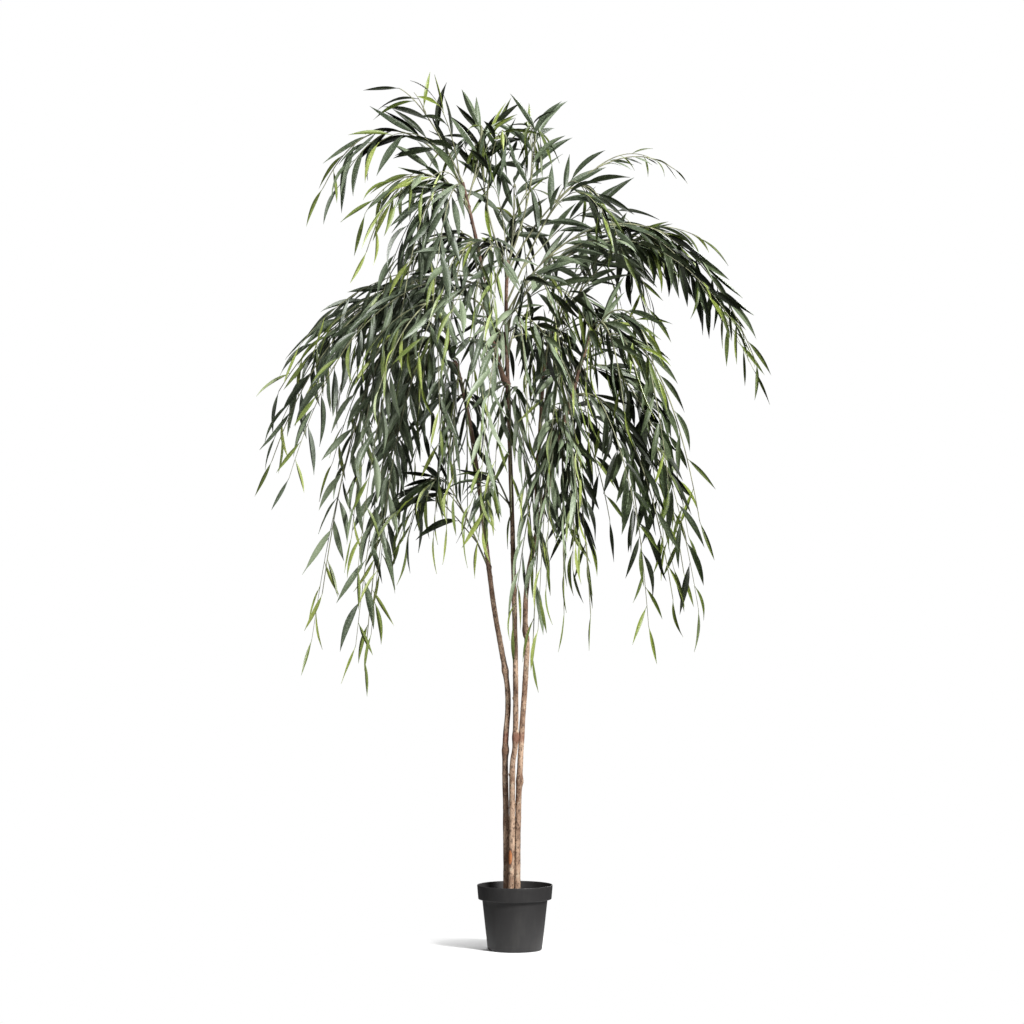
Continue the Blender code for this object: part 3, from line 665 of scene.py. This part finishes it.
# %% Spray table
Spray = namedtuple("Spray", "name limb root heading climb reach fall twigs fan droop")
SPRAYS = (
    Spray("top_left_high", "bough_top_left", 1.563, 198, 0.125, 0.135, -0.190, 2, 17, 0.12),
    Spray("top_left_low", "bough_top_left", 1.546, 178, 0.160, 0.290, -0.010, 2, 20, 0.15),
    Spray("top_left_tuft", "bough_top_left", 1.530, 40, 0.160, 0.045, -0.110, 3, 26, 0.12),
    Spray("top_left_pale", "bough_top_left", 1.500, 202, 0.115, 0.225, 0.080, 4, 20, 0.15),
    Spray("top_left_hang", "bough_top_left", 1.515, 214, 0.090, 0.165, 0.240, 4, 18, 0.15),
    Spray("top_left_back", "bough_top_left", 1.440, 120, 0.050, 0.260, 0.060, 3, 22, 0.15),
    Spray("front_left_high", "bough_top_left", 1.420, 250, 0.050, 0.170, 0.180, 4, 24, 0.15),
    Spray("crown_tuft_left", "stem_middle", 1.392, 172, 0.260, 0.055, -0.255, 5, 34, 0.10),
    Spray("crown_tuft_right", "stem_middle", 1.408, 15, 0.262, 0.070, -0.255, 5, 36, 0.10),
    Spray("crown_front", "stem_middle", 1.374, 255, 0.090, 0.240, 0.060, 3, 20, 0.15),
    Spray("crown_back", "stem_middle", 1.345, 80, 0.200, 0.260, -0.020, 3, 22, 0.15),
    Spray("shoulder_right", "stem_middle", 1.324, 350, 0.278, 0.240, -0.105, 4, 18, 0.15),
    Spray("shoulder_olive", "stem_middle", 1.282, 8, 0.190, 0.400, -0.183, 3, 14, 0.15),
    Spray("wisp_right", "stem_middle", 1.384, 5, 0.226, 0.345, -0.219, 1, 10, 0.10),
    Spray("arm_right", "stem_middle", 1.300, 356, 0.260, 0.512, 0.100, 5, 11, 0.12),
    Spray("arm_right_high", "bough_right_inner", 1.243, 354, 0.205, 0.275, -0.185, 4, 14, 0.12),
    Spray("arm_right_back", "bough_right_inner", 1.268, 42, 0.220, 0.290, -0.020, 3, 14, 0.15),
    Spray("right_middle", "stem_right", 1.222, 335, 0.120, 0.160, 0.050, 1, 22, 0.15),
    Spray("right_front", "stem_right", 1.184, 290, 0.140, 0.250, 0.090, 3, 22, 0.15),
    Spray("right_edge", "stem_right", 1.206, 8, 0.110, 0.245, 0.330, 2, 14, 0.10),
    Spray("right_edge_low", "stem_right", 1.170, 22, 0.070, 0.240, 0.400, 3, 10, 0.10),
    Spray("right_low", "stem_right", 1.130, 345, 0.030, 0.212, 0.410, 3, 10, 0.06),
    Spray("right_inner_low", "stem_right", 1.030, 318, 0.050, 0.090, 0.340, 2, 16, 0.15),
    Spray("right_hang", "stem_right", 1.050, 275, 0.060, 0.080, 0.350, 3, 14, 0.12),
    Spray("right_back", "bough_right_inner", 1.182, 75, 0.130, 0.270, 0.130, 4, 22, 0.15),
    Spray("right_back_low", "bough_right_inner", 1.080, 50, 0.060, 0.230, 0.200, 3, 20, 0.15),
    Spray("centre_front", "stem_middle", 1.235, 280, 0.120, 0.250, 0.170, 3, 24, 0.15),
    Spray("centre_pale", "stem_right", 1.075, 212, 0.050, 0.075, 0.470, 3, 6, 0.10),
    Spray("centre_back", "stem_middle", 1.200, 78, 0.120, 0.280, 0.050, 4, 24, 0.15),
    Spray("centre_inner", "bough_right_inner", 1.204, 285, 0.120, 0.110, 0.080, 3, 26, 0.15),
    Spray("centre_high", "bough_right_inner", 1.226, 325, 0.150, 0.140, 0.000, 4, 26, 0.15),
    Spray("centre_right_front", "stem_middle", 1.270, 305, 0.150, 0.190, 0.050, 3, 26, 0.15),
    Spray("left_high", "bough_top_left", 1.378, 180, 0.005, 0.415, 0.235, 5, 14, 0.10),
    Spray("left_arm", "bough_top_left", 1.350, 190, 0.060, 0.435, 0.350, 4, 14, 0.10),
    Spray("left_arm_front", "bough_top_left", 1.300, 228, 0.070, 0.320, 0.160, 4, 20, 0.15),
    Spray("left_hang", "stem_left", 1.290, 200, 0.050, 0.262, 0.560, 5, 10, 0.08),
    Spray("left_low", "stem_left", 1.238, 178, 0.050, 0.178, 0.650, 4, 12, 0.08),
    Spray("left_front", "stem_left", 1.212, 255, 0.090, 0.260, 0.110, 3, 22, 0.15),
    Spray("left_back", "stem_left", 1.270, 130, 0.100, 0.290, 0.150, 4, 22, 0.15),
    Spray("left_back_low", "stem_left", 1.120, 90, 0.060, 0.275, 0.210, 3, 20, 0.15),
    Spray("left_inner", "stem_left", 1.140, 250, 0.070, 0.100, 0.270, 3, 14, 0.12),
    Spray("left_stem_twig", "stem_left", 0.780, 185, 0.225, 0.170, -0.050, 4, 22, 0.15),
    Spray("left_thin", "stem_left", 1.170, 235, 0.070, 0.080, 0.200, 1, 14, 0.15),
    Spray("middle_twig", "stem_middle", 0.900, 190, 0.100, 0.070, 0.060, 3, 26, 0.15),
    Spray("centre_veil", "stem_middle", 1.128, 275, 0.060, 0.070, 0.230, 3, 12, 0.12),
    Spray("centre_gap", "stem_right", 1.150, 235, 0.070, 0.090, 0.150, 3, 24, 0.15),
    Spray("crown_leader", "stem_middle", 1.360, 70, 0.215, 0.050, -0.165, 3, 26, 0.12),
)
FIRST_FORK = 0.10
LAST_FORK = 0.60
SMALL_LEAVES = {"wisp_right": 0.5}
BARE_SHARES = {"wisp_right": 0.6, "crown_tuft_left": 0.25, "crown_tuft_right": 0.2,
               "right_inner_low": 0.3}
print(len(SPRAYS), "sprays")

# %% [markdown]
# A twig's course is one Bezier curve from its root to its tip. A side twig follows the
# later course of its main twig and fans away from it, so a spray keeps a common flow,
# as wire twigs do after someone has bent them by hand.

# %% Twig courses
def main_line(root, spray, steps=24):
    """A spray's main twig: it leaves the wood at a slant, arches over and hangs down"""
    turn = math.radians(spray.heading)
    heading = Vector((math.cos(turn), math.sin(turn), 0.0))
    leave = root + heading * max(0.12 * spray.reach, 0.32 * spray.climb) + UP * 0.69 * spray.climb
    crest = root + heading * 0.66 * spray.reach + UP * 1.35 * spray.climb
    tip = root + heading * spray.reach - UP * spray.fall
    return geometry.interpolate_bezier(root, leave, crest, tip, steps + 1)


def on_path(path, share):
    """The point a share of the way along a path's steps, and the direction there"""
    place = min(share, 1.0) * (len(path) - 1)
    step = min(int(place), len(path) - 2)
    start, end = path[step], path[step + 1]
    return start.lerp(end, place - step), (end - start).normalized()


def path_length(path):
    return sum((end - start).length for start, end in zip(path, path[1:]))


def side_twig(main, spray, number, rng, steps=14):
    """A side twig: it follows the main twig's later course and fans away from it"""
    first = BARE_SHARES.get(spray.name, FIRST_FORK)
    start = first + (LAST_FORK - first) * number / max(1, spray.twigs - 1) + rng.uniform(-0.03, 0.03)
    end = start + (1.0 - start) * rng.uniform(0.6, 1.0)
    roll = math.radians(rng.uniform(-70.0, 70.0))
    fan = math.tan(math.radians(spray.fan * rng.uniform(0.6, 1.3)))
    turn = rng.uniform(0.0, 2 * math.pi)
    forward = on_path(main, start)[1]
    lateral = forward.cross(UP)
    if lateral.length < 0.25:
        lateral = Vector((math.cos(turn), math.sin(turn), 0.0))
        lateral -= forward * lateral.dot(forward)
    lateral.normalize()
    side = 1 if number % 2 else -1
    away = lateral * side * math.cos(roll) + lateral.cross(forward) * math.sin(roll)
    length = path_length([on_path(main, start + (end - start) * k / 8)[0] for k in range(9)])
    path = []
    for step in range(steps + 1):
        share = step / steps
        followed = on_path(main, start + (end - start) * share)[0]
        path.append(followed + away * fan * length * share ** 0.85
                    - UP * spray.droop * length * share ** 2)
    return path


# The part of a twig that bears no leaves: a length, and at most a share of the twig
MAIN_BARE, MAIN_BARE_SHARE = 0.12, 0.3
SIDE_BARE, SIDE_BARE_SHARE = 0.06, 0.2
MAIN_TWIG_RADIUS = 0.0021
SIDE_TWIG_RADIUS = 0.0014
Twig = namedtuple("Twig", "spray path radius bare")
main_twigs = []
side_twigs = []
for seed, spray in enumerate(SPRAYS, start=1):
    main = main_line(at_height(limb_paths[spray.limb], spray.root), spray)
    length = path_length(main)
    bare = max(min(MAIN_BARE, MAIN_BARE_SHARE * length), BARE_SHARES.get(spray.name, 0.0) * length)
    main_twigs.append(Twig(spray, main, MAIN_TWIG_RADIUS, bare))
    for number in range(spray.twigs):
        path = side_twig(main, spray, number, random.Random(100 * seed + number))
        bare = min(SIDE_BARE, SIDE_BARE_SHARE * path_length(path))
        side_twigs.append(Twig(spray, path, SIDE_TWIG_RADIUS, bare))
print(len(main_twigs), "main twigs and", len(side_twigs), "side twigs")

# %% [markdown]
# ## Leaves
#
# Leaves sit alternately, about 27 mm apart, each on a short stalk. They point along
# the twig and sag, and the last few of a twig are smaller and paler. A seeded rule
# deals out every angle and length, so each run of the script gives the same tree.

# %% Leaf seats
LEAF_LENGTH = 0.100
LEAF_SPACING = 0.027
LEAF_ANGLE = 32.0
LEAF_SAG = 0.16
GROWN_WIDTH = 0.132
YOUNG_WIDTH = 0.10
YOUNG_LENGTH = 0.82
YOUNG_LEAVES = (2, 3, 3, 4)
Seat = namedtuple("Seat", "root direction flat length width bend sway twist shade")

# Sprays that lean to the sage shade, which is partly a paler print and partly a painted satin sheen
PALE_SPRAYS = ("top_left_pale", "centre_veil", "centre_pale", "left_hang", "arm_right_high",
               "right_hang", "shoulder_olive", "centre_front", "right_edge")
# Sprays that lean to the deep print; on the crown's left, away from the key light, it is partly painted
# shade
DEEP_SPRAYS = ("top_left_high", "top_left_low", "top_left_hang", "top_left_back", "crown_tuft_left",
               "crown_tuft_right", "crown_leader", "crown_back", "shoulder_right", "left_high",
               "left_arm", "left_back", "left_back_low", "left_stem_twig", "front_left_high",
               "centre_back", "centre_inner", "centre_high", "right_back", "right_back_low",
               "arm_right_back")


def spray_shade(spray, rng):
    """The shade of one grown leaf: its spray's own, or now and then a neighbouring one"""
    if spray.name in DEEP_SPRAYS:
        return "deep" if rng.random() < 0.85 else "green"
    if spray.name in PALE_SPRAYS:
        return "sage" if rng.random() < 0.7 else "green"
    return rng.choices(("green", "deep", "sage"), (0.5, 0.35, 0.15))[0]


def seats_along(twig, rng):
    """A twig's leaves, from its lower end to its tip"""
    size = SMALL_LEAVES.get(twig.spray.name, 1.0)
    total = path_length(twig.path)
    count = max(1, round((total - twig.bare) / LEAF_SPACING))
    side = 1 if rng.random() < 0.5 else -1
    plane = math.radians(twig.spray.heading + rng.uniform(-50.0, 50.0))
    young_leaves = rng.choice(YOUNG_LEAVES)
    seats = []
    for number in range(count + 1):
        share = (twig.bare + (total - twig.bare) * number / count) / total
        root, forward = on_path(twig.path, share)
        lateral = Vector((math.cos(plane), math.sin(plane), 0.0))
        lateral -= forward * lateral.dot(forward)
        if lateral.length < 0.3:
            lateral = UP - forward * UP.dot(forward)
        lateral.normalize()
        left = count - number
        angle = math.radians(LEAF_ANGLE * rng.uniform(0.6, 1.35) * (0.4 if left == 0 else 1.0))
        direction = forward * math.cos(angle) + lateral * side * math.sin(angle)
        direction = (direction - UP * LEAF_SAG * rng.uniform(0.3, 1.2)).normalized()
        flat = forward.cross(lateral) + lateral * rng.uniform(-0.4, 0.4) + UP * 0.25
        young = left < young_leaves
        length = LEAF_LENGTH * size * rng.uniform(0.88, 1.12) * (YOUNG_LENGTH if young else 1.0)
        width = length * (YOUNG_WIDTH if young else GROWN_WIDTH) * rng.uniform(0.9, 1.1)
        shade = spray_shade(twig.spray, rng)
        if young:
            shares = (0.5, 0.2, 0.3) if twig.spray.name in DEEP_SPRAYS else (0.58, 0.42, 0.0)
            shade = rng.choices(("olive", "lime", "deep"), shares)[0]
        seats.append(Seat(root, direction, flat, length, width, rng.uniform(-0.3, 0.5),
                          rng.uniform(-0.2, 0.2), rng.uniform(-0.6, 0.6), shade))
        side = -side
    return seats


seats = []
for number, twig in enumerate(main_twigs + side_twigs):
    seats += seats_along(twig, random.Random(7000 + number))
print(len(seats), "leaf seats")

# %% [markdown]
# A leaf may not grow through the wood, or out of the top of the crown. Three points
# along it are measured against the limbs' centre lines, and a leaf that comes too near
# is left off, where a maker would bend it aside.

# %% Leave the wood clear
WOOD_CLEARANCE = 0.0085
CROWN_TOP = 1.80
wood = np.array([tuple(point) for limb in LIMBS for point in smooth_path(limb.line, 0.006)])


def clear_of_wood(seat):
    for share in (0.4, 0.75, 1.0):
        point = np.array(seat.root + seat.direction * seat.length * share)
        if np.min(np.linalg.norm(wood - point, axis=1)) < WOOD_CLEARANCE:
            return False
    return seat.root.z + seat.direction.z * seat.length < CROWN_TOP


seats = [seat for seat in seats if clear_of_wood(seat)]
print(len(seats), "leaves clear of the wood")

# %% [markdown]
# The blade is drawn once as a ring of eight points carried along thirteen stations:
# a round stalk, then a lens of cloth that is widest before the middle and runs out to
# a long point. The press leaves a groove along the upper side of the midrib and a
# ridge below it. All the leaves of a shade are then bent, swayed and twisted in one
# sum of arrays, which is fast and needs no copy of an object. Leaves that lie flat bend
# down further than those that hang, and a leaf on its edge sways down.

# %% Leaf blades
STATIONS = np.array((0.0, 0.03, 0.065, 0.11, 0.18, 0.27, 0.37, 0.48, 0.6, 0.72, 0.83, 0.92, 1.0))
STALK_END = 0.065
STALK_RADIUS = 0.0006
CLOTH_HALF = 0.00018
BEND_WHERE_FLAT = 0.8
SWAY_ON_EDGE = 0.3
LEAST_BEND = 0.03
TO_FULL_WIDTH = 4.08
LENS = np.array(((1.0, 0.0), (0.5, 1.0), (0.0, 0.4), (-0.5, 1.0),
                 (-1.0, 0.0), (-0.5, -1.0), (0.0, -2.6), (0.5, -1.0)))
ROUND = np.array([(math.cos(k * math.pi / 4), math.sin(k * math.pi / 4)) for k in range(8)])


def leaf_stack(seats, rng):
    """The rings of many leaves at once: (leaves, stations, points, xyz)"""
    root = np.array([tuple(seat.root) for seat in seats])
    ahead = np.array([tuple(seat.direction) for seat in seats])
    flat = np.array([tuple(seat.flat) for seat in seats])
    across = np.cross(flat, ahead)
    across /= np.linalg.norm(across, axis=1)[:, None]
    over = np.cross(ahead, across)
    length, width, bend, sway, twist = (
        np.array([getattr(seat, field) for seat in seats])[:, None]
        for field in ("length", "width", "bend", "sway", "twist"))
    bend = bend + BEND_WHERE_FLAT * over[:, 2:]
    bend = np.where(np.abs(bend) < LEAST_BEND, LEAST_BEND, bend)
    sway = sway - SWAY_ON_EDGE * across[:, 2:]
    t = STATIONS[None, :]
    blade = np.clip((t - STALK_END) / (1.0 - STALK_END), 0.0, 1.0)
    half = 0.5 * width * TO_FULL_WIDTH * blade ** 0.9 * (1.0 - blade) ** 1.15
    half = np.maximum(half, STALK_RADIUS * (1.0 - 0.75 * blade))
    stalk = np.clip(1.0 - blade * 12.0, 0.0, 1.0)[..., None]
    turn = bend * t
    forward_run = length * np.sin(turn) / bend
    fall = length * (1.0 - np.cos(turn)) / bend
    drift = length * sway * t ** 2
    middle = (root[:, None] + forward_run[..., None] * ahead[:, None]
              - fall[..., None] * over[:, None] + drift[..., None] * across[:, None])
    lifted = np.cos(turn)[..., None] * over[:, None] + np.sin(turn)[..., None] * ahead[:, None]
    spin = (twist * t)[..., None]
    side = np.cos(spin) * across[:, None] + np.sin(spin) * lifted
    top = np.cos(spin) * lifted - np.sin(spin) * across[:, None]
    fold = rng.uniform(0.2, 0.8, len(seats))[:, None, None]
    ripple = rng.uniform(0.0, 2 * math.pi, len(seats))[:, None, None]
    u = LENS[:, 0] * (1 - stalk) + ROUND[:, 0] * stalk
    v = LENS[:, 1] * CLOTH_HALF * (1 - stalk) + ROUND[:, 1] * STALK_RADIUS * stalk
    wave = 0.07 * np.sin(9.0 * t[..., None] + ripple + 1.3 * u) * np.abs(u) ** 1.5
    rise = v + half[..., None] * (fold * np.abs(u) + wave) * (1 - stalk)
    return (middle[:, :, None] + (half[..., None] * u)[..., None] * side[:, :, None]
            + rise[..., None] * top[:, :, None])


for shade, cloth in LEAF_CLOTH.items():
    kind = [seat for seat in seats if seat.shade == shade]
    stack = leaf_stack(kind, np.random.default_rng(len(kind)))
    piece = skin(shade + "_leaves", stack, cloth, column_finish=[0, 0, 0, 0, 1, 1, 1, 1])
    print(shade, len(kind), "leaves")

# %% [markdown]
# The twigs are wire in a green brown covering, thick enough where they enter the wood
# to hold the spray, and thinning to the tip. The main twigs and the side twigs are
# two joined meshes.

# %% Twigs
THINNING = 0.6
SOCKET_SWELL = 0.0009
SOCKET_LENGTH = 0.012


def twig_stack(twigs, rings, points):
    """The rings of many twigs at once, each thinning to four tenths at its tip"""
    stacks = []
    for twig in twigs:
        path = evenly(twig.path, rings)
        share = np.linspace(0.0, 1.0, rings)
        radii = twig.radius * (1.0 - THINNING * share)
        radii += SOCKET_SWELL * np.exp(-(share * path_length(twig.path) / SOCKET_LENGTH) ** 2)
        stacks.append(rings_round(path, radii, points))
    return np.array(stacks)


main_piece = skin("main_twigs", twig_stack(main_twigs, 32, 8), [twig_skin])
side_piece = skin("side_twigs", twig_stack(side_twigs, 18, 6), [twig_skin])
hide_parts(*foliage_nodes)
print("all pieces", sum(triangle_count.values()), "triangles")
